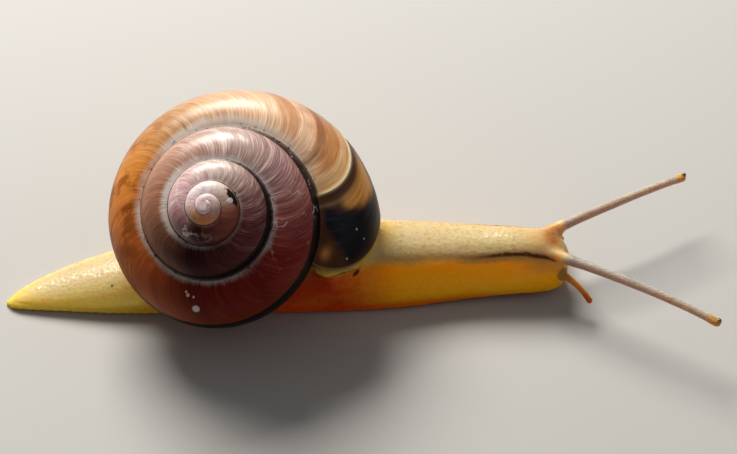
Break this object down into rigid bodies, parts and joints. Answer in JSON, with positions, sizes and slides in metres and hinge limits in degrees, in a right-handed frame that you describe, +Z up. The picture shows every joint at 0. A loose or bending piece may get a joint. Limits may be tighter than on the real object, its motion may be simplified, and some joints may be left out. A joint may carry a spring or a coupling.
{
  "type": "grove snail, crawling",
  "caption": "Life-size still model of a crawling banded land snail: coiled right-handed shell on a slender stretched body with raised feelers.",
  "frame": {"origin": "on the flat of the sole, under the shell, in the plane the foot rests on", "axes": "+X towards the head, +Y to the snail's left, +Z up"},
  "size_m": [0.0542, 0.0172, 0.0147],
  "materials": {
    "shell": "glossy horn-like shell, red-brown with a dark band and pale growth lines",
    "skin": "moist, finely grained, cream above and amber on the flanks",
    "mantle": "moist, smooth, yellow-green",
    "tentacle": "moist, translucent grey-lilac with ochre tips",
    "eye": "glossy black-brown"
  },
  "bodies": {
    "root": {"shell": "shell", "mantle_collar": "mantle", "tail": "skin", "trunk": "skin", "neck": "skin", "head": "skin", "upper_tentacle_left_root": "tentacle", "upper_tentacle_left_middle": "tentacle", "upper_tentacle_left_tip": "tentacle", "upper_tentacle_right_root": "tentacle", "upper_tentacle_right_middle": "tentacle", "upper_tentacle_right_tip": "tentacle", "lower_tentacle_left": "tentacle", "lower_tentacle_right": "tentacle", "eye_left": "eye", "eye_right": "eye"}
  },
  "joints": []
}
